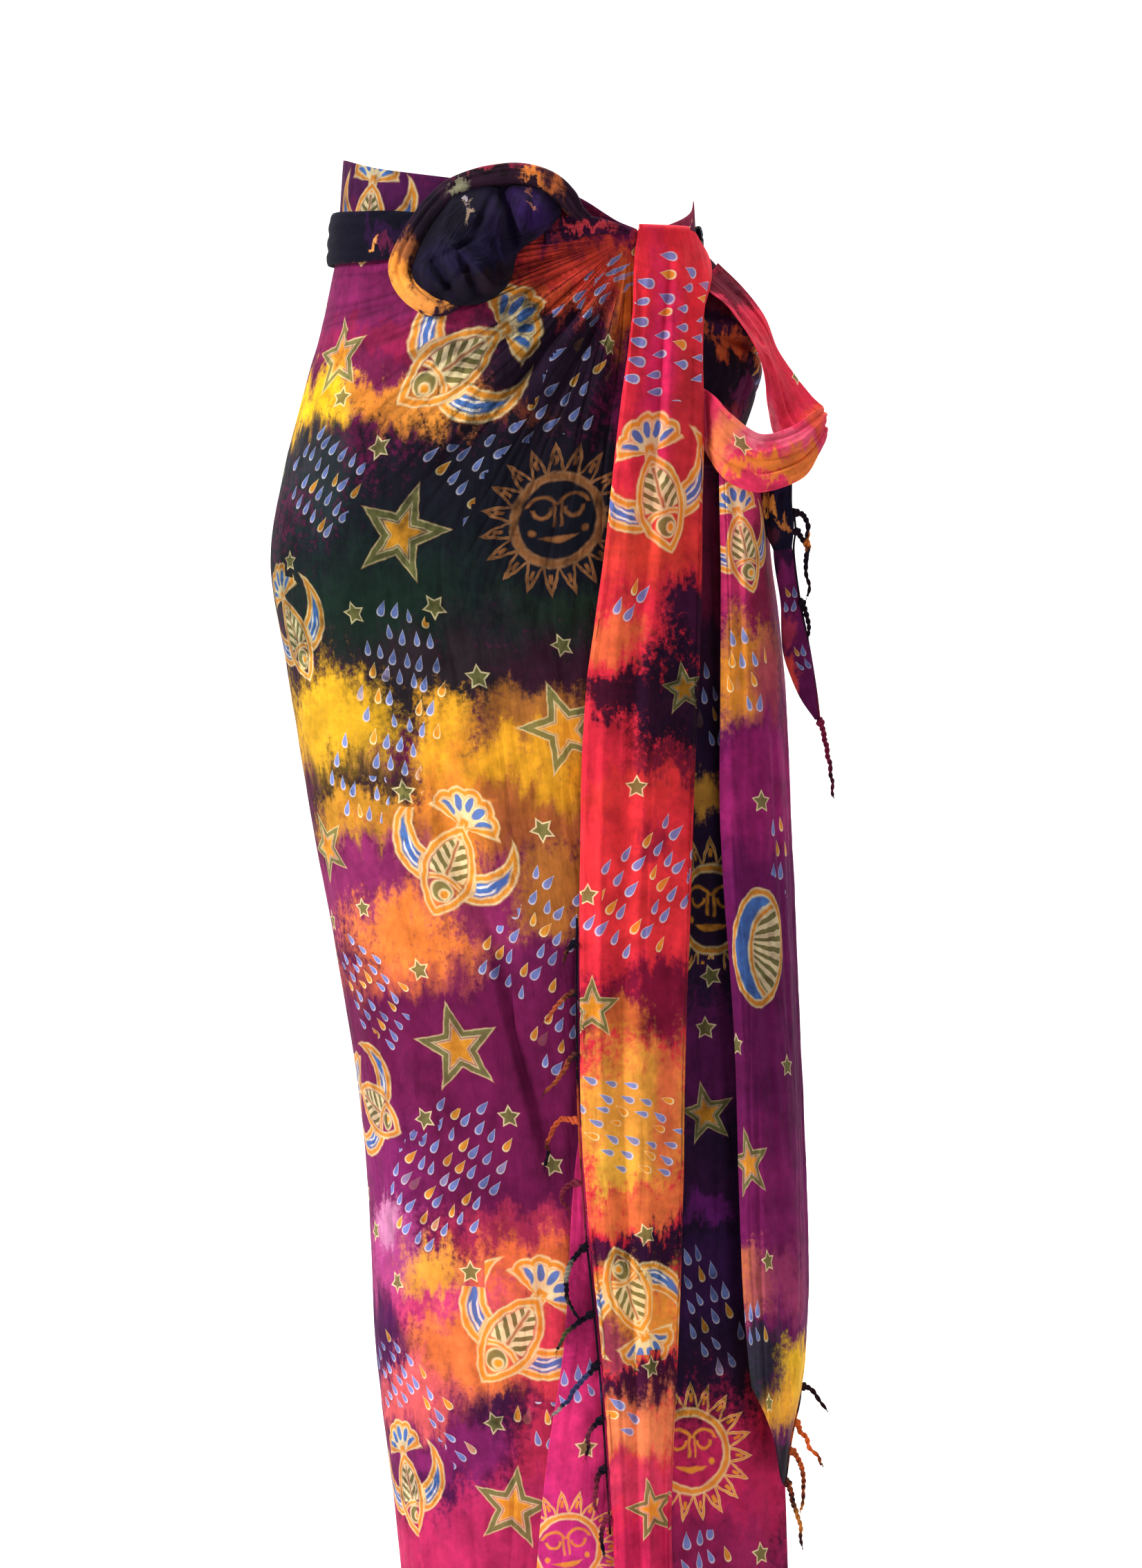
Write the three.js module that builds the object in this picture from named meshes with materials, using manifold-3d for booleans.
// A sarong as it is worn: one rectangular wrapper cloth, wound once round the waist and hips, knotted
// at the front, with its long free end pleated, hooked over the waist edge, looped at the hip and
// left hanging. Its short ends carry twisted tassels.
// Millimetres. +Z is up, +X is the wearer's left, -Y is the front. The origin is the middle of the
// waist, where the wearer holds the cloth up.
import * as THREE from "three";
import { mergeVertices } from "three/addons/utils/BufferGeometryUtils.js";
import Module from "manifold-3d";

const wasm = await Module();
wasm.setup();

// ---- Driving sizes -------------------------------------------------------------------------------
const wall = 1.5; // one layer of the cloth
const seamGap = 0.4; // between two pieces that touch
const waistToHem = 1020; // waistline down to the hem
const hipDrop = 230; // waistline down to where hanging cloth leaves the hip
const roundness = 2.25; // power of the body section: 2 is an ellipse, more is squarer
const layerRise = 4.2; // how far the wound cloth moves outwards over its whole turn
const innerEnd = -95; // turn of the hidden end of the wound cloth, in degrees
const outerEnd = 308; // turn of its outer end, under the hanging pleats

// Turns are in degrees: 0 is the wearer's left, 90 the back, 180 the wearer's right, 270 the front.

// The wearer's figure, as sections from above the waist to the hem.
const figure = [
  { z: 60, left: -120, right: 127, front: 84, back: 84 },
  { z: 20, left: -123, right: 129, front: 86, back: 85 },
  { z: -10, left: -125, right: 131, front: 89, back: 88 },
  { z: -60, left: -135, right: 139, front: 100, back: 101 },
  { z: -110, left: -149, right: 149, front: 109, back: 118 },
  { z: -170, left: -164, right: 158, front: 114, back: 130 },
  { z: -235, left: -173, right: 163, front: 115, back: 131 },
  { z: -300, left: -163, right: 162, front: 113, back: 119 },
  { z: -400, left: -147, right: 157, front: 109, back: 104 },
  { z: -520, left: -125, right: 151, front: 103, back: 97 },
  { z: -650, left: -105, right: 146, front: 96, back: 95 },
  { z: -800, left: -97, right: 141, front: 91, back: 95 },
  { z: -920, left: -83, right: 139, front: 88, back: 93 },
  { z: -1020, left: -73, right: 138, front: 87, back: 91 },
];

// Height of the cloth's upper edge at each turn. It is level where the pleats hook over it.
const hookEdge = 2.4;
const upperEdge = [
  { turn: -95, z: 20 },
  { turn: -66, z: 4 },
  { turn: -56, z: hookEdge },
  { turn: -50, z: hookEdge },
  { turn: -18, z: hookEdge },
  { turn: -8, z: hookEdge },
  { turn: -4, z: 12 },
  { turn: 0, z: 27 },
  { turn: 12, z: 20 },
  { turn: 45, z: 10 },
  { turn: 90, z: 8 },
  { turn: 130, z: 18 },
  { turn: 165, z: 47 },
  { turn: 182, z: 56 },
  { turn: 225, z: 46 },
  { turn: 262, z: 36 },
  { turn: 285, z: 27 },
  { turn: 300, z: 9 },
  { turn: 308, z: 3 },
];

// The tuck, where the free end is pulled tight at the waist edge and the front gathers start.
const tuck = { x: 84, z: -2 };

// Gathers that fan out from the tuck. Angle runs down from the level line to the wearer's right.
const gathers = [
  { angle: 9, spread: 5.5, height: 6.0, reach: 200 },
  { angle: 23, spread: 4.8, height: 7.0, reach: 270 },
  { angle: 35, spread: 4.4, height: 6.0, reach: 230 },
  { angle: 46, spread: 4.5, height: 7.0, reach: 300 },
  { angle: 60, spread: 5.0, height: 6.5, reach: 330 },
  { angle: 74, spread: 4.5, height: 5.5, reach: 260 },
  { angle: 87, spread: 4.0, height: 3.5, reach: 200 },
];

// Long soft folds on the front, as seen from the front. A negative height is a trough.
const frontFolds = [
  { fromX: -95, fromZ: -150, toX: -70, toZ: -400, width: 16, height: -3.0 },
  { fromX: -72, fromZ: -330, toX: 28, toZ: -660, width: 15, height: -5.0 },
  { fromX: -50, fromZ: -330, toX: 45, toZ: -610, width: 17, height: 3.5 },
  { fromX: -110, fromZ: -620, toX: -35, toZ: -900, width: 13, height: 4.5 },
  { fromX: -88, fromZ: -700, toX: -15, toZ: -960, width: 12, height: -4.0 },
  { fromX: 14, fromZ: -740, toX: 8, toZ: -1020, width: 14, height: -4.0 },
  { fromX: -40, fromZ: -820, toX: -34, toZ: -1020, width: 15, height: 4.0 },
  { fromX: 45, fromZ: -380, toX: -30, toZ: -430, width: 12, height: 3.0 },
];

// The same kind of folds on the back, as seen from the front.
const backFolds = [
  { fromX: -90, fromZ: -40, toX: 20, toZ: -190, width: 14, height: 4.0 },
  { fromX: 100, fromZ: -35, toX: 10, toZ: -230, width: 15, height: 4.5 },
  { fromX: 60, fromZ: -30, toX: -60, toZ: -150, width: 12, height: -3.0 },
  { fromX: 70, fromZ: -260, toX: -20, toZ: -560, width: 20, height: 4.5 },
  { fromX: 110, fromZ: -300, toX: 40, toZ: -700, width: 17, height: -4.0 },
  { fromX: -60, fromZ: -420, toX: 10, toZ: -800, width: 19, height: 4.0 },
  { fromX: 60, fromZ: -700, toX: 66, toZ: -1020, width: 15, height: 5.0 },
  { fromX: 20, fromZ: -760, toX: 22, toZ: -1020, width: 13, height: -4.0 },
  { fromX: -30, fromZ: -720, toX: -22, toZ: -1020, width: 15, height: 4.5 },
];

// ---- Helpers -------------------------------------------------------------------------------------
const radians = THREE.MathUtils.degToRad;
const clamp = THREE.MathUtils.clamp;
const lerp = THREE.MathUtils.lerp;

function smooth(low, high, value) {
  const t = clamp((value - low) / (high - low), 0, 1);
  return t * t * (3 - 2 * t);
}

// The value of a column of a table at a place along its key column, on a smooth curve.
function read(table, key, at, column) {
  const sign = Math.sign(table[table.length - 1][key] - table[0][key]);
  let i = 0;
  while (i < table.length - 2 && sign * (at - table[i + 1][key]) > 0) i += 1;
  const a = table[i];
  const b = table[i + 1];
  const span = b[key] - a[key];
  const t = clamp((at - a[key]) / span, 0, 1);
  const before = table[Math.max(i - 1, 0)];
  const after = table[Math.min(i + 2, table.length - 1)];
  const slopeA = (b[column] - before[column]) / (b[key] - before[key] || span);
  const slopeB = (after[column] - a[column]) / (after[key] - a[key] || span);
  const t2 = t * t;
  const t3 = t2 * t;
  return (
    a[column] * (2 * t3 - 3 * t2 + 1) +
    b[column] * (3 * t2 - 2 * t3) +
    span * (slopeA * (t3 - 2 * t2 + t) + slopeB * (t3 - t2))
  );
}

// Places from a to b, with steps about as long as step.
function stops(a, b, step) {
  const count = Math.max(1, Math.round(Math.abs(b - a) / step));
  return Array.from({ length: count + 1 }, (_, i) => lerp(a, b, i / count));
}

// Several runs of places, each { to, step }, joined end to end.
function runs(start, list) {
  const places = [start];
  let from = start;
  for (const { to, step } of list) {
    places.push(...stops(from, to, step).slice(1));
    from = to;
  }
  return places;
}

// The body section at a height.
function section(z) {
  const left = read(figure, "z", z, "left");
  const right = read(figure, "z", z, "right");
  return {
    middle: (left + right) / 2,
    half: (right - left) / 2,
    front: read(figure, "z", z, "front"),
    back: read(figure, "z", z, "back"),
  };
}

// A point on a body section, moved out from it.
function around(s, turn, z, out) {
  const c = Math.cos(radians(turn));
  const n = Math.sin(radians(turn));
  const bend = 2 / roundness;
  const depth = n < 0 ? s.front : s.back;
  return new THREE.Vector3(
    s.middle + (s.half + out) * Math.sign(c) * Math.abs(c) ** bend,
    (depth + out) * Math.sign(n) * Math.abs(n) ** bend,
    z,
  );
}

// The turn, on the front half, of the place on a section that lies at x.
function frontTurn(s, x, out) {
  const share = clamp((x - s.middle) / (s.half + out), -1, 1);
  return 360 - THREE.MathUtils.radToDeg(Math.acos(Math.sign(share) * Math.abs(share) ** (roundness / 2)));
}

// A point on the front of the wound cloth at x and z, lifted off its middle surface.
function onFront(x, z, lift) {
  const s = section(z);
  const out = wrapOut(frontTurn(s, x, layerRise), z) + lift;
  return around(s, frontTurn(s, x, out), z, out).setX(x);
}

// How far the front of a free-hanging length stands off the tapering figure below the hips.
function hangOff(z) {
  return 0.45 * Math.max(0, section(-hipDrop).front - section(Math.min(z, -hipDrop)).front);
}

// Height of the folds in a table at a place seen from the front.
function foldHeight(table, x, z) {
  let sum = 0;
  for (const f of table) {
    const dx = f.toX - f.fromX;
    const dz = f.toZ - f.fromZ;
    const long = Math.hypot(dx, dz);
    const along = ((x - f.fromX) * dx + (z - f.fromZ) * dz) / long;
    const across = ((x - f.fromX) * dz - (z - f.fromZ) * dx) / long;
    const ends = smooth(-20, 0.3 * long, along) * (1 - smooth(0.75 * long, long + 20, along));
    sum += f.height * ends * Math.exp(-((across / f.width) ** 2));
  }
  return sum;
}

function gatherHeight(x, z) {
  const dx = tuck.x - x;
  const dz = tuck.z - z;
  const far = Math.hypot(dx, dz);
  const angle = THREE.MathUtils.radToDeg(Math.atan2(dz, dx));
  let sum = 0;
  for (const g of gathers) {
    const ends = smooth(8, 60, far) * (1 - smooth(0.35 * g.reach, g.reach, far));
    sum += g.height * ends * Math.exp(-(((angle - g.angle) / g.spread) ** 2));
  }
  return sum;
}

// A closed wall round a grid of points on its middle surface. Rows run down, columns run across,
// so that the outside is on the side of (down x across).
function wallSolid(rows, thickness) {
  const count = rows.length;
  const wide = rows[0].length;
  const half = thickness / 2;
  const sides = [[], []];
  for (let j = 0; j < count; j += 1) {
    for (let i = 0; i < wide; i += 1) {
      const down = rows[Math.min(j + 1, count - 1)][i].clone().sub(rows[Math.max(j - 1, 0)][i]);
      const across = rows[j][Math.min(i + 1, wide - 1)].clone().sub(rows[j][Math.max(i - 1, 0)]);
      const normal = down.cross(across).normalize();
      sides[0].push(rows[j][i].clone().addScaledVector(normal, half));
      sides[1].push(rows[j][i].clone().addScaledVector(normal, -half));
    }
  }
  const points = [...sides[0], ...sides[1]];
  const at = (side, j, i) => side * count * wide + j * wide + i;
  const faces = [];
  const quad = (a, b, c, d) => faces.push(a, b, c, a, c, d);
  for (let j = 0; j < count - 1; j += 1) {
    for (let i = 0; i < wide - 1; i += 1) {
      quad(at(0, j, i), at(0, j + 1, i), at(0, j + 1, i + 1), at(0, j, i + 1));
      quad(at(1, j, i), at(1, j, i + 1), at(1, j + 1, i + 1), at(1, j + 1, i));
    }
  }
  for (let i = 0; i < wide - 1; i += 1) {
    quad(at(0, 0, i), at(0, 0, i + 1), at(1, 0, i + 1), at(1, 0, i));
    quad(at(0, count - 1, i + 1), at(0, count - 1, i), at(1, count - 1, i), at(1, count - 1, i + 1));
  }
  for (let j = 0; j < count - 1; j += 1) {
    quad(at(0, j + 1, 0), at(0, j, 0), at(1, j, 0), at(1, j + 1, 0));
    quad(at(0, j, wide - 1), at(0, j + 1, wide - 1), at(1, j + 1, wide - 1), at(1, j, wide - 1));
  }
  return solidFrom(points, faces);
}

// A solid from its points and faces, turned so that the faces point out.
function solidFrom(points, faces) {
  let volume = 0;
  for (let i = 0; i < faces.length; i += 3) {
    const [a, b, c] = [points[faces[i]], points[faces[i + 1]], points[faces[i + 2]]];
    volume += a.dot(b.clone().cross(c));
  }
  if (volume < 0) faces.reverse();
  const geometry = new THREE.BufferGeometry();
  const numbers = points.flatMap((p) => [p.x, p.y, p.z]);
  geometry.setAttribute("position", new THREE.Float32BufferAttribute(numbers, 3));
  geometry.setIndex(faces);
  return geometry;
}

// A closed roll whose sections are rings of points, capped at both ends.
function rollSolid(rings) {
  const wide = rings[0].length;
  const points = rings.flat();
  const faces = [];
  for (let j = 0; j < rings.length - 1; j += 1) {
    for (let i = 0; i < wide; i += 1) {
      const a = j * wide + i;
      const b = j * wide + ((i + 1) % wide);
      faces.push(a, b, b + wide, a, b + wide, a + wide);
    }
  }
  const middle = (ring) => ring.reduce((sum, p) => sum.add(p), new THREE.Vector3()).divideScalar(wide);
  const first = points.push(middle(rings[0])) - 1;
  const last = points.push(middle(rings[rings.length - 1])) - 1;
  const end = (rings.length - 1) * wide;
  for (let i = 0; i < wide; i += 1) {
    faces.push(first, (i + 1) % wide, i);
    faces.push(last, end + i, end + ((i + 1) % wide));
  }
  return solidFrom(points, faces);
}

// A roll of cloth along a table of { x, y, z, tall, thick }: its section is an ellipse, tall across
// the path and thick towards the front.
function clothRoll(table, steps, sides) {
  const path = new THREE.CatmullRomCurve3(table.map((r) => new THREE.Vector3(r.x, r.y, r.z)));
  const sized = table.map((r, i) => ({ ...r, place: i }));
  const rings = [];
  for (let j = 0; j <= steps; j += 1) {
    const t = j / steps;
    const place = t * (table.length - 1);
    const middle = path.getPoint(t);
    const along = path.getTangent(t);
    const out = new THREE.Vector3(0, -1, 0).addScaledVector(along, along.y).normalize();
    const side = out.clone().cross(along).normalize();
    const tall = read(sized, "place", place, "tall") / 2;
    const thick = read(sized, "place", place, "thick") / 2;
    const ring = [];
    for (let i = 0; i < sides; i += 1) {
      const a = (2 * Math.PI * i) / sides;
      const point = middle.clone().addScaledVector(side, tall * Math.cos(a));
      ring.push(point.addScaledVector(out, thick * Math.sin(a)));
    }
    rings.push(ring);
  }
  return rollSolid(rings);
}

function toManifold(geometry) {
  const bare = new THREE.BufferGeometry();
  bare.setAttribute("position", geometry.getAttribute("position"));
  bare.setIndex(geometry.getIndex());
  const merged = mergeVertices(bare, 1e-4);
  return new wasm.Manifold(
    new wasm.Mesh({
      numProp: 3,
      vertProperties: new Float32Array(merged.getAttribute("position").array),
      triVerts: new Uint32Array(merged.getIndex().array),
    }),
  );
}

// One body from pieces that run into each other.
function joined(...geometries) {
  const mesh = geometries.map(toManifold).reduce((sum, solid) => sum.add(solid)).getMesh();
  const geometry = new THREE.BufferGeometry();
  geometry.setAttribute("position", new THREE.BufferAttribute(mesh.vertProperties, mesh.numProp));
  geometry.setIndex(new THREE.BufferAttribute(mesh.triVerts, 1));
  return geometry;
}

const sarong = new THREE.Group();

function addPiece(name, geometry, colour) {
  const material = new THREE.MeshStandardMaterial({ color: colour, roughness: 0.85, metalness: 0 });
  material.name = name;
  const mesh = new THREE.Mesh(geometry, material);
  mesh.name = name;
  sarong.add(mesh);
}

// ---- The wound cloth -----------------------------------------------------------------------------
// How far the cloth stands out from the figure at a turn and height.
function wrapOut(turn, z) {
  const base = (layerRise * (turn - innerEnd)) / (outerEnd - innerEnd);
  const s = section(z);
  const place = around(s, turn, z, 0);
  const n = Math.sin(radians(turn));
  const underBand = 1 - smooth(-42, -26, z) * (1 - smooth(255, 262, turn));
  let folds = 0;
  if (turn > 215) {
    folds += gatherHeight(place.x, z) + foldHeight(frontFolds, place.x, z) * smooth(0.15, 0.6, -n);
  } else if (turn > 0 && turn < 180) {
    folds += foldHeight(backFolds, place.x, z) * smooth(0.15, 0.6, n);
  }
  return base + folds * underBand;
}

function wrapRows() {
  const turns = runs(innerEnd, [{ to: 215, step: 11 }, { to: outerEnd, step: 4.9 }]);
  const drops = runs(0, [{ to: 0.11, step: 0.0135 }, { to: 0.27, step: 0.03 }, { to: 1, step: 0.058 }]);
  return drops.map((drop) =>
    turns.map((turn) => {
      const top = read(upperEdge, "turn", turn, "z");
      const hem = -waistToHem + 3 * Math.sin(radians(turn * 2.3));
      const z = lerp(top, hem, drop);
      return around(section(z), turn, z, wrapOut(turn, z));
    }),
  );
}

const wrap = wallSolid(wrapRows(), wall);
addPiece("body_wrap", wrap, 0x5a1a4a);

// ---- The rolled waist band -----------------------------------------------------------------------
// Lower and upper edge and thickness of the roll at each turn.
const waistBand = [
  { turn: -8, low: -6, high: 7, thick: 3.6 },
  { turn: 10, low: -9, high: 10, thick: 5 },
  { turn: 45, low: -13, high: 7, thick: 5.5 },
  { turn: 90, low: -22, high: 5, thick: 6 },
  { turn: 140, low: -21, high: 13, thick: 6 },
  { turn: 180, low: -20, high: 17, thick: 6.5 },
  { turn: 215, low: -20, high: 17, thick: 6 },
  { turn: 233, low: -18, high: 16, thick: 5 },
];
const bandLift = 0.6; // clear space behind the band

function bandRings() {
  const sides = 8;
  const [first, last] = [waistBand[0].turn, waistBand[waistBand.length - 1].turn];
  return stops(first, last, 8).map((turn) => {
    const low = read(waistBand, "turn", turn, "low");
    const high = read(waistBand, "turn", turn, "high");
    const thick = read(waistBand, "turn", turn, "thick");
    const z = (low + high) / 2;
    const lift = wall / 2 + seamGap + bandLift + thick / 2;
    return Array.from({ length: sides }, (_, i) => {
      const a = (2 * Math.PI * i) / sides;
      const height = z + (Math.cos(a) * (high - low)) / 2;
      return around(section(height), turn, height, wrapOut(turn, z) + lift + (Math.sin(a) * thick) / 2);
    });
  });
}

addPiece("waist_band", rollSolid(bandRings()), 0x16142e);

// ---- The knot ------------------------------------------------------------------------------------
// Outline of the gathered lobe as seen from the front.
const knotOutline = [
  { x: -35, z: 31 },
  { x: -12, z: 33 },
  { x: 12, z: 32 },
  { x: 27, z: 24 },
  { x: 31, z: 10 },
  { x: 21, z: -2 },
  { x: 4, z: -16 },
  { x: -2, z: -36 },
  { x: -14, z: -48 },
  { x: -38, z: -54 },
  { x: -54, z: -47 },
  { x: -66, z: -38 },
  { x: -69, z: -27 },
  { x: -63, z: -11 },
  { x: -54, z: 8 },
  { x: -46, z: 20 },
];
const knotMiddle = { x: -25, z: -6 };
const knotBack = 3.2; // from the wound cloth's middle surface to the lobe's flat side
const knotBulge = 34; // how far the lobe stands out in front of that
// Creases across the lobe, as seen from the front.
const knotCreases = [
  { fromX: -6, fromZ: 30, toX: 2, toZ: -14, width: 5, height: -7 },
  { fromX: -30, fromZ: -12, toX: -12, toZ: -24, width: 5, height: -5 },
  { fromX: -56, fromZ: -22, toX: -42, toZ: -44, width: 5, height: -5 },
  { fromX: -36, fromZ: -22, toX: -22, toZ: -46, width: 4.5, height: -4 },
];

function knotRings() {
  const outline = new THREE.CatmullRomCurve3(
    knotOutline.map((p) => new THREE.Vector3(p.x, 0, p.z)),
    true,
  ).getSpacedPoints(30);
  outline.pop();
  const rim = (share, depth) =>
    outline.map((p) => {
      const x = lerp(knotMiddle.x, p.x, share);
      const z = lerp(knotMiddle.z, p.z, share);
      const front = onFront(x, z, knotBack).y;
      const crease = depth * foldHeight(knotCreases, x, z);
      return new THREE.Vector3(x, front - knotBulge * depth - crease, z);
    });
  const bulge = [1, 0.97, 0.88, 0.74, 0.56, 0.36, 0.16];
  return [rim(0.5, 0), rim(0.93, 0.02), ...bulge.map((share) => rim(share, Math.sqrt(1.03 - share * share)))];
}

addPiece("knot_core", rollSolid(knotRings()), 0x1c1638);

// The roll that frames the lobe, from below it, up its right-hand side (the wearer's) and over it.
const knotLoop = [
  { x: -50, z: -54, front: -7, tall: 9, thick: 8 },
  { x: -64, z: -49, front: -9, tall: 11, thick: 10 },
  { x: -76, z: -38, front: -9, tall: 12, thick: 11 },
  { x: -81, z: -25, front: -9, tall: 12, thick: 11 },
  { x: -76, z: -11, front: -10, tall: 12, thick: 12 },
  { x: -66, z: 3, front: -11, tall: 12, thick: 13 },
  { x: -55, z: 19, front: -12, tall: 12, thick: 14 },
  { x: -41, z: 36, front: -12, tall: 13, thick: 15 },
  { x: -20, z: 45, front: -12, tall: 17, thick: 17 },
  { x: 4, z: 47, front: -12, tall: 18, thick: 18 },
  { x: 24, z: 42, front: -12, tall: 18, thick: 17 },
  { x: 38, z: 30, front: -11, tall: 14, thick: 14 },
  { x: 43, z: 19, front: -10, tall: 8, thick: 9 },
];
const knotLoopPath = knotLoop.map((r) => ({ ...r, y: onFront(r.x, Math.min(r.z, 30), 2).y + r.front }));
const knotLoopSolid = clothRoll(knotLoopPath, 40, 8);
addPiece("knot_loop", knotLoopSolid, 0x8a4a34);

// ---- The twist from the knot to the tuck ---------------------------------------------------------
const waistTwist = [
  { x: 38, z: 2, tall: 19, thick: 11 },
  { x: 50, z: 4, tall: 16, thick: 10 },
  { x: 63, z: 4, tall: 12, thick: 8 },
  { x: 74, z: 3, tall: 8, thick: 6 },
  { x: 83, z: 1, tall: 5, thick: 4 },
];
const twistPath = waistTwist.map((r) => ({
  ...r,
  y: onFront(r.x, r.z, wall / 2 + seamGap + bandLift + 0.45 + r.thick / 2).y,
}));
addPiece("waist_twist", clothRoll(twistPath, 12, 8), 0x3a1230);

// ---- The pleats that hang in front ---------------------------------------------------------------
// Left and right edge of the hanging pleats, as seen from the front.
const frontDrape = [
  { z: 8, left: 90, right: 127 },
  { z: 0, left: 89, right: 132 },
  { z: -15, left: 87, right: 141 },
  { z: -30, left: 86, right: 142 },
  { z: -58, left: 85, right: 136 },
  { z: -131, left: 76, right: 136 },
  { z: -230, left: 65, right: 135 },
  { z: -332, left: 52, right: 132 },
  { z: -454, left: 48, right: 127 },
  { z: -607, left: 48, right: 122 },
  { z: -703, left: 53, right: 121 },
  { z: -805, left: 63, right: 117 },
  { z: -907, left: 70, right: 113 },
  { z: -1002, left: 75, right: 114 },
];
// Lengthwise ridges, placed by their share of the width.
const drapeRidges = [
  { at: 0.2, width: 0.1, height: 2.2 },
  { at: 0.4, width: 0.08, height: -1.8 },
  { at: 0.58, width: 0.1, height: 2.4 },
  { at: 0.78, width: 0.08, height: -1.8 },
];
const drapeLift = 8.6; // from the wound cloth's middle surface to the pleats' own
const hookInside = -1.95; // where the hooked-over end lies, inside the waist edge
const hookDepth = 26; // how far it reaches down inside
const hookRise = 4.3; // height of the bend over the edge
const hookCurl = 0.12; // share of the turned-under edges that is left at the bend
const hookNarrowing = 6; // how much narrower it is inside
// The turned-under side edges: distance in from the edge, and drop towards the figure.
const turnedEdge = [
  { inset: 2.4, drop: 4.4 },
  { inset: 0.8, drop: 3.8 },
  { inset: 0, drop: 2.4 },
  { inset: 0.6, drop: 0.9 },
  { inset: 2.4, drop: 0 },
];

// Where the loop at the hip passes beneath, the pleats are pushed out.
function loopPush(x, z) {
  return 5 * Math.exp(-(((z + 132) / 48) ** 2)) * smooth(92, 126, x);
}

// Columns across a hanging strip, as { x, drop, share }.
function stripColumns(left, right, curl, steps) {
  const edge = turnedEdge.map((e) => ({ inset: e.inset, drop: e.drop * curl }));
  return [
    ...edge.map((e) => ({ x: left + e.inset, drop: e.drop })),
    ...Array.from({ length: steps - 1 }, (_, i) => ({ x: lerp(left, right, (i + 1) / steps), drop: 0 })),
    ...edge.toReversed().map((e) => ({ x: right - e.inset, drop: e.drop })),
  ].map((c) => ({ ...c, share: (c.x - left) / (right - left) }));
}

function drapeRows() {
  const steps = 8;
  const rows = [];
  const acrossAt = (z) => [read(frontDrape, "z", z, "left"), read(frontDrape, "z", z, "right")];
  const topOut = wall + seamGap + 1.6;
  const bend = stops(180, 0, 30);
  const inside = [-hookDepth, -hookDepth / 2, hookEdge];
  const hookAcross = acrossAt(frontDrape[0].z);
  const insideAcross = [hookAcross[0], hookAcross[1] - hookNarrowing];
  for (const z of inside) {
    rows.push({ z, fixed: hookInside, curl: hookCurl, edges: insideAcross });
  }
  for (const angle of bend.slice(1, -1)) {
    const share = (Math.cos(radians(angle)) + 1) / 2;
    const edges = insideAcross.map((x, i) => lerp(x, hookAcross[i], share));
    rows.push({ z: hookEdge + hookRise * Math.sin(radians(angle)), blend: share, curl: hookCurl, edges });
  }
  for (const z of runs(hookEdge, [{ to: -58, step: 12 }, { to: -1002, step: 50 }])) {
    const rise = smooth(0, -34, z);
    const lift = lerp(topOut, drapeLift, rise) + hangOff(z);
    rows.push({ z, lift, curl: lerp(hookCurl, 1, rise), edges: acrossAt(z) });
  }
  return rows.map((row) => {
    const [left, right] = row.edges;
    return stripColumns(left, right, row.curl, steps).map((column) => {
      const ridges = drapeRidges.reduce(
        (sum, r) => sum + r.height * Math.exp(-(((column.share - r.at) / r.width) ** 2)),
        0,
      );
      const s = section(row.z);
      const place = (out) => around(s, frontTurn(s, column.x, out), row.z, out).setX(column.x);
      if (row.fixed !== undefined) return place(row.fixed);
      const turn = frontTurn(s, column.x, layerRise);
      if (row.blend !== undefined) return place(lerp(hookInside, wrapOut(turn, row.z) + topOut, row.blend));
      const push = loopPush(column.x, row.z);
      return place(wrapOut(turn, row.z) + row.lift + push - column.drop + ridges * smooth(0, -40, row.z));
    });
  });
}

addPiece("front_drape", wallSolid(drapeRows(), wall), 0xe0283c);

// ---- The pleat beneath them ----------------------------------------------------------------------
const underPleat = [
  { z: -470, left: 64, right: 94 },
  { z: -607, left: 52, right: 95 },
  { z: -678, left: 43, right: 95 },
  { z: -768, left: 38, right: 96 },
  { z: -804, left: 35, right: 96 },
  { z: -876, left: 24, right: 95 },
  { z: -961, left: 16, right: 95 },
  { z: -1012, left: 14, right: 95 },
];
const underLift = 1.95;

function underPleatRows() {
  return stops(-470, -1012, 42).map((z) => {
    const [left, right] = [read(underPleat, "z", z, "left"), read(underPleat, "z", z, "right")];
    return stops(0, 1, 0.125).map((share) => {
      const ridge = 0.8 * Math.exp(-(((share - 0.3) / 0.12) ** 2));
      const hang = 0.7 * hangOff(z) * smooth(-480, -760, z);
      return onFront(lerp(left, right, share), z, underLift + hang + ridge);
    });
  });
}

addPiece("under_pleat", wallSolid(underPleatRows(), wall), 0xd02a6a);

// ---- The recessed length between the pleats and the side drape -----------------------------------
// Its plan at each height, from the left end past a corner to the right end.
const midDrape = [
  { z: -166, leftX: 118, leftY: -91, bendX: 138, bendY: -79, rightX: 160, rightY: -53 },
  { z: -250, leftX: 112, leftY: -97, bendX: 137, bendY: -80, rightX: 163, rightY: -50 },
  { z: -335, leftX: 108, leftY: -97, bendX: 138, bendY: -80, rightX: 168, rightY: -50 },
  { z: -450, leftX: 106, leftY: -92, bendX: 142, bendY: -80, rightX: 172, rightY: -50 },
  { z: -600, leftX: 104, leftY: -88, bendX: 142, bendY: -82, rightX: 178, rightY: -46 },
  { z: -750, leftX: 102, leftY: -87, bendX: 144, bendY: -82, rightX: 185, rightY: -40 },
  { z: -880, leftX: 102, leftY: -87, bendX: 148, bendY: -84, rightX: 194, rightY: -34 },
  { z: -1014, leftX: 103, leftY: -87, bendX: 150, bendY: -86, rightX: 199, rightY: -30 },
];
const midFold = { at: 0.42, width: 0.1, height: 4, start: -330, full: -450 };

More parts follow.
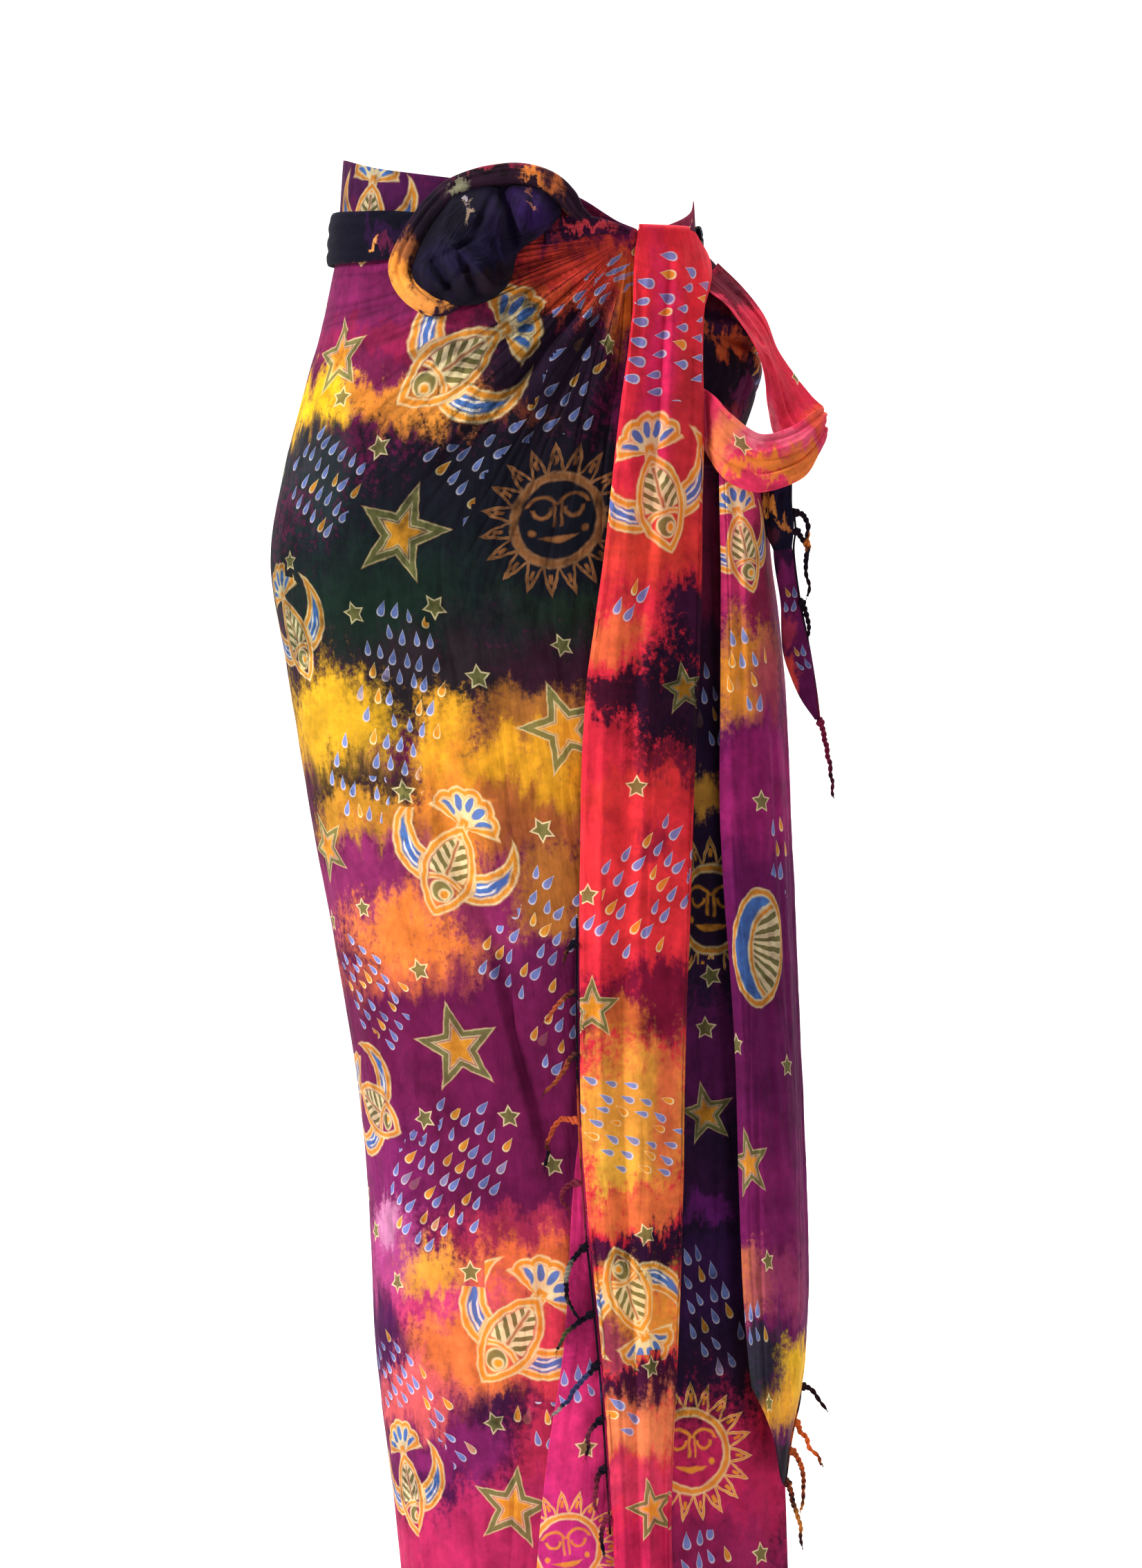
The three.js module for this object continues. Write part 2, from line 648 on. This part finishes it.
function midDrapeRows() {
  return stops(midDrape[0].z, midDrape[midDrape.length - 1].z, 53).map((z) => {
    const at = (column) => read(midDrape, "z", z, column);
    const plan = new THREE.QuadraticBezierCurve3(
      new THREE.Vector3(at("leftX"), at("leftY"), z),
      new THREE.Vector3(at("bendX"), at("bendY"), z),
      new THREE.Vector3(at("rightX"), at("rightY"), z),
    );
    return stops(0, 1, 1 / 12).map((share) => {
      const fold = (share - midFold.at) / midFold.width;
      const dent = midFold.height * Math.exp(-fold * fold) * smooth(midFold.start, midFold.full, z);
      return plan.getPoint(share).add(new THREE.Vector3(-0.4 * dent, dent, 0));
    });
  });
}

addPiece("mid_drape", wallSolid(midDrapeRows(), wall), 0x2a1230);

// ---- The outer length at the hip -----------------------------------------------------------------
const sideDrape = [
  { z: -157, left: 147, right: 174 },
  { z: -177, left: 147, right: 175 },
  { z: -230, left: 148, right: 178 },
  { z: -278, left: 148, right: 187 },
  { z: -332, left: 148, right: 194 },
  { z: -428, left: 148, right: 200 },
  { z: -578, left: 158, right: 206 },
  { z: -677, left: 161, right: 210 },
  { z: -752, left: 164, right: 212 },
  { z: -805, left: 168, right: 210 },
  { z: -830, left: 171, right: 207 },
  { z: -863, left: 176, right: 200 },
  { z: -898, left: 182, right: 196 },
];
// Its plan, from the front edge round to the back edge: place between left and right, depth, and
// the height at which the cloth's slanting lower edge crosses it.
const sidePlan = [
  { step: 0, share: 0, y: -86, end: -826 },
  { step: 1, share: 0.22, y: -89, end: -846 },
  { step: 2, share: 0.55, y: -82, end: -874 },
  { step: 3, share: 0.84, y: -62, end: -897 },
  { step: 4, share: 0.97, y: -36, end: -868 },
  { step: 5, share: 1, y: -10, end: -830 },
  { step: 6, share: 0.86, y: 12, end: -800 },
];
const underLoop = { out: -2.2, high: -250, low: -190 }; // its top leans out to meet the loop above
const sideFold = { from: 1.2, to: 2.4, height: 3.5, width: 0.5 };

function sideDrapeRows() {
  const columns = stops(0, 6, 0.4);
  return runs(0, [{ to: 0.3, step: 0.05 }, { to: 1, step: 0.058 }]).map((drop) =>
    columns.map((step) => {
      const z = lerp(sideDrape[0].z, read(sidePlan, "step", step, "end"), drop);
      const [left, right] = [read(sideDrape, "z", z, "left"), read(sideDrape, "z", z, "right")];
      const fold = (step - lerp(sideFold.from, sideFold.to, drop)) / sideFold.width;
      const dent = sideFold.height * Math.exp(-fold * fold);
      const x = lerp(left, right, read(sidePlan, "step", step, "share"));
      const lean = underLoop.out * (1 - smooth(underLoop.low, underLoop.high, z));
      return new THREE.Vector3(x - 0.4 * dent, read(sidePlan, "step", step, "y") + dent + lean, z);
    }),
  );
}

const sideRows = sideDrapeRows();
addPiece("side_drape", wallSolid(sideRows, wall), 0x7a1a5c);

// ---- The puffed cloth on the hip -----------------------------------------------------------------
const swagPuff = [
  { turn: -29, puff: 1 },
  { turn: -21, puff: 6 },
  { turn: -12, puff: 14 },
  { turn: -4, puff: 27 },
  { turn: 5, puff: 30 },
  { turn: 25, puff: 28 },
  { turn: 50, puff: 15 },
  { turn: 76, puff: 0 },
];
const swagShape = [
  { z: -17, share: 0.26 },
  { z: -37, share: 0.74 },
  { z: -57, share: 0.93 },
  { z: -77, share: 1 },
  { z: -95, share: 0.93 },
  { z: -122, share: 0.55 },
  { z: -152, share: 0.03 },
];
const swagLift = 2.5;
const swagTop = { front: -64, side: -17, back: -29 }; // height of its upper edge round the hip
const swagBottom = -152;
// Soft diagonal folds on it: turn and height they pass through, and their slope.
const swagFolds = [
  { turn: -6, z: -52, slope: -1.1, width: 9, height: 3 },
  { turn: 14, z: -70, slope: -0.8, width: 10, height: -3 },
  { turn: 34, z: -86, slope: -0.5, width: 10, height: 3 },
];

function swagRows() {
  const turns = stops(-29, 76, 7);
  return stops(0, 1, 0.1).map((drop) =>
    turns.map((turn) => {
      const sideTop = lerp(swagTop.front, swagTop.side, smooth(-17, 2, turn));
      const top = lerp(sideTop, swagTop.back, smooth(10, 76, turn));
      const z = lerp(top, swagBottom, drop);
      const puff = Math.max(0, read(swagPuff, "turn", turn, "puff"));
      const shape = read(swagShape, "z", z, "share");
      const folds = swagFolds.reduce((sum, f) => {
        const off = (z - f.z - f.slope * (turn - f.turn)) / f.width;
        return sum + f.height * Math.exp(-off * off);
      }, 0);
      const foldShare = (puff * shape) / swagPuff[4].puff;
      return around(section(z), turn, z, wrapOut(turn, z) + swagLift + puff * shape + folds * foldShare);
    }),
  );
}

addPiece("hip_swag", wallSolid(swagRows(), wall), 0x1c1030);

// ---- The loop of cloth at the hip ----------------------------------------------------------------
// The path of the loop's upper and lower edge, from behind the hip, round and in under the pleats.
const hipLoop = [
  { x: 176, y: -14, z: -60, lowX: 166, lowY: -56, lowZ: -92 },
  { x: 190, y: -10, z: -80, lowX: 184, lowY: -54, lowZ: -101 },
  { x: 203, y: -12, z: -100, lowX: 187, lowY: -60, lowZ: -124 },
  { x: 214, y: -18, z: -114, lowX: 192, lowY: -62, lowZ: -146 },
  { x: 221, y: -28, z: -121, lowX: 210, lowY: -58, lowZ: -152 },
  { x: 221, y: -42, z: -123, lowX: 220, lowY: -50, lowZ: -146 },
  { x: 214, y: -58, z: -128, lowX: 214, lowY: -64, lowZ: -164 },
  { x: 198, y: -74, z: -139, lowX: 203, lowY: -76, lowZ: -177 },
  { x: 176, y: -86, z: -144, lowX: 178, lowY: -92, lowZ: -186 },
  { x: 156, y: -88, z: -130, lowX: 160, lowY: -96, lowZ: -182 },
  { x: 145, y: -84, z: -118, lowX: 147, lowY: -92, lowZ: -172 },
  { x: 133, y: -71, z: -109, lowX: 135, lowY: -72, lowZ: -152 },
  { x: 122, y: -80, z: -104, lowX: 123, lowY: -82, lowZ: -138 },
];
const loopBow = 4; // how far the ribbon bows out between its edges

function loopRows() {
  const upper = new THREE.CatmullRomCurve3(hipLoop.map((r) => new THREE.Vector3(r.x, r.y, r.z)));
  const lower = new THREE.CatmullRomCurve3(hipLoop.map((r) => new THREE.Vector3(r.lowX, r.lowY, r.lowZ)));
  const centre = new THREE.Vector3(180, -40, -120);
  return stops(0, 1, 1 / 48).map((along) => {
    const [a, b] = [upper.getPoint(along), lower.getPoint(along)];
    return stops(0, 1, 0.2).map((across) => {
      const p = a.clone().lerp(b, across);
      const away = p.clone().sub(centre).setZ(0).normalize();
      return p.addScaledVector(away, loopBow * 4 * across * (1 - across) * smooth(0, 0.2, 1 - along));
    });
  });
}

addPiece("hip_loop", wallSolid(loopRows(), wall), 0xf0507a);

// ---- The bunch and the pointed tail below the loop -----------------------------------------------
const tailBunch = [
  { x: 187, y: -44, z: -156, tall: 18, thick: 14 },
  { x: 187.7, y: -46, z: -172, tall: 24, thick: 20 },
  { x: 187.7, y: -47, z: -192, tall: 25, thick: 21 },
  { x: 191, y: -47, z: -211, tall: 22, thick: 17 },
  { x: 193, y: -47, z: -226, tall: 14, thick: 9 },
];
addPiece("tail_bunch", clothRoll(tailBunch, 12, 10), 0x14102a);

const tail = [
  { x: 193.3, y: -47, z: -226.7, tall: 13, thick: 6 },
  { x: 198, y: -46, z: -262, tall: 14, thick: 5 },
  { x: 203, y: -46, z: -296, tall: 19, thick: 5 },
  { x: 210, y: -45, z: -326, tall: 14, thick: 4 },
  { x: 218, y: -45, z: -348, tall: 3, thick: 2.4 },
];
addPiece("tail", clothRoll(tail, 16, 8), 0x5a1a50);

// ---- The fringes ---------------------------------------------------------------------------------
// A thin strand through three points, thickest near its knotted root.
function strand(root, via, tip, thick) {
  const bend = via.clone().multiplyScalar(2).sub(root.clone().add(tip).multiplyScalar(0.5));
  const path = new THREE.QuadraticBezierCurve3(root, bend, tip);
  const sizes = [1, 1.25, 1, 0.9, 0.75, 0.4];
  const rings = sizes.map((size, i) => {
    const t = i / (sizes.length - 1);
    const along = path.getTangent(t);
    const out = new THREE.Vector3(0, -1, 0).addScaledVector(along, along.y).normalize();
    const side = out.clone().cross(along).normalize();
    return stops(0, 270, 90).map((turn) =>
      path
        .getPoint(t)
        .addScaledVector(side, (thick / 2) * size * Math.cos(radians(turn)))
        .addScaledVector(out, (thick / 2) * size * Math.sin(radians(turn))),
    );
  });
  return rollSolid(rings);
}

// A narrow strip of four sides along a path.
function fringeStrip(points, wide) {
  const table = points.map((p) => ({ x: p.x, y: p.y, z: p.z, tall: wide, thick: wide }));
  return clothRoll(table, points.length * 2, 4);
}

// A strip and its strands as one body. Strands hang from the strip's own points.
function fringe(points, strands, wide, thick) {
  const path = new THREE.CatmullRomCurve3(points);
  const pieces = strands.map((s) => {
    const root = path.getPoint(s.at);
    const via = root.clone().add(new THREE.Vector3(s.viaX, s.viaY, s.viaZ));
    const tip = root.clone().add(new THREE.Vector3(s.tipX, s.tipY, s.tipZ));
    return strand(root, via, tip, thick);
  });
  return joined(fringeStrip(points, wide), ...pieces);
}

const stripWide = 2;
const strandThick = 3.6;

// Strands of the pleats' edge: where on the strip, and their middle and tip from there.
const frontStrands = [
  { at: 0.04, viaX: -6, viaY: -3, viaZ: -4, tipX: -9, tipY: -3, tipZ: -14 },
  { at: 0.12, viaX: -11, viaY: -3, viaZ: -6, tipX: -21, tipY: -3, tipZ: -20 },
  { at: 0.22, viaX: -9, viaY: -3, viaZ: -10, tipX: -22, tipY: -3, tipZ: -29 },
  { at: 0.33, viaX: -17, viaY: -3, viaZ: -3, tipX: -24, tipY: -3, tipZ: -32 },
  { at: 0.43, viaX: -14, viaY: -3, viaZ: -5, tipX: -10, tipY: -3, tipZ: -20 },
  { at: 0.53, viaX: -15, viaY: -3, viaZ: -24, tipX: -6, tipY: -3, tipZ: -53 },
  { at: 0.64, viaX: -16, viaY: -3, viaZ: -11, tipX: -27, tipY: -3, tipZ: -26 },
  { at: 0.72, viaX: -18, viaY: -3, viaZ: -21, tipX: -32, tipY: -3, tipZ: -39 },
  { at: 0.81, viaX: -9, viaY: -3, viaZ: -11, tipX: -13, tipY: -3, tipZ: -26 },
  { at: 0.89, viaX: -8, viaY: -3, viaZ: -14, tipX: -6, tipY: -3, tipZ: -32 },
  { at: 0.97, viaX: -5, viaY: -3, viaZ: -10, tipX: -4, tipY: -3, tipZ: -28 },
];
const frontStrip = stops(-490, -930, 55).map((z) => {
  const x = read(frontDrape, "z", z, "left") - wall / 2 - seamGap - 0.6 * stripWide;
  return onFront(x, z, drapeLift + hangOff(z) - 2.4);
});
addPiece("front_fringe", fringe(frontStrip, frontStrands, stripWide, strandThick), 0xc8603c);

const sideStrands = [
  { at: 0.05, viaX: 8, viaY: -2, viaZ: -3, tipX: 17, tipY: -3, tipZ: -15 },
  { at: 0.35, viaX: 7, viaY: -2, viaZ: -14, tipX: 20, tipY: -3, tipZ: -32 },
  { at: 0.62, viaX: 9, viaY: -2, viaZ: -16, tipX: 8, tipY: -3, tipZ: -44 },
  { at: 0.94, viaX: 7, viaY: -2, viaZ: -22, tipX: 12, tipY: -3, tipZ: -48 },
];
// The strip runs just below the slanting lower edge, from the back end of that edge to its corner.
const sideStrip = sideRows[sideRows.length - 1]
  .slice(8, 14)
  .reverse()
  .map((p) => p.clone().add(new THREE.Vector3(0.4, 0, -seamGap - 1.3 * stripWide)));
addPiece("side_fringe", fringe(sideStrip, sideStrands, stripWide, strandThick), 0x7a2a3c);

const tailStrands = [
  { at: 0.02, viaX: 10, viaY: -2, viaZ: -13, tipX: 8, tipY: -3, tipZ: -42 },
  { at: 0.16, viaX: 8, viaY: -2, viaZ: -18, tipX: 7, tipY: -3, tipZ: -48 },
  { at: 0.5, viaX: 5, viaY: -2, viaZ: -12, tipX: 6, tipY: -3, tipZ: -27 },
  { at: 0.98, viaX: 6, viaY: -1, viaZ: -26, tipX: 10, tipY: -2, tipZ: -56 },
];
const tailStrip = [
  { x: 208, y: -47, z: -196 },
  { x: 206, y: -47, z: -226 },
  { x: 208, y: -46, z: -262 },
  { x: 216, y: -45, z: -300 },
  { x: 221, y: -45, z: -330 },
  { x: 223, y: -45, z: -350 },
];
const tailStripPoints = tailStrip.map((p) => new THREE.Vector3(p.x, p.y, p.z));
addPiece("tail_fringe", fringe(tailStripPoints, tailStrands, stripWide, strandThick), 0x5a1a50);

export default sarong;
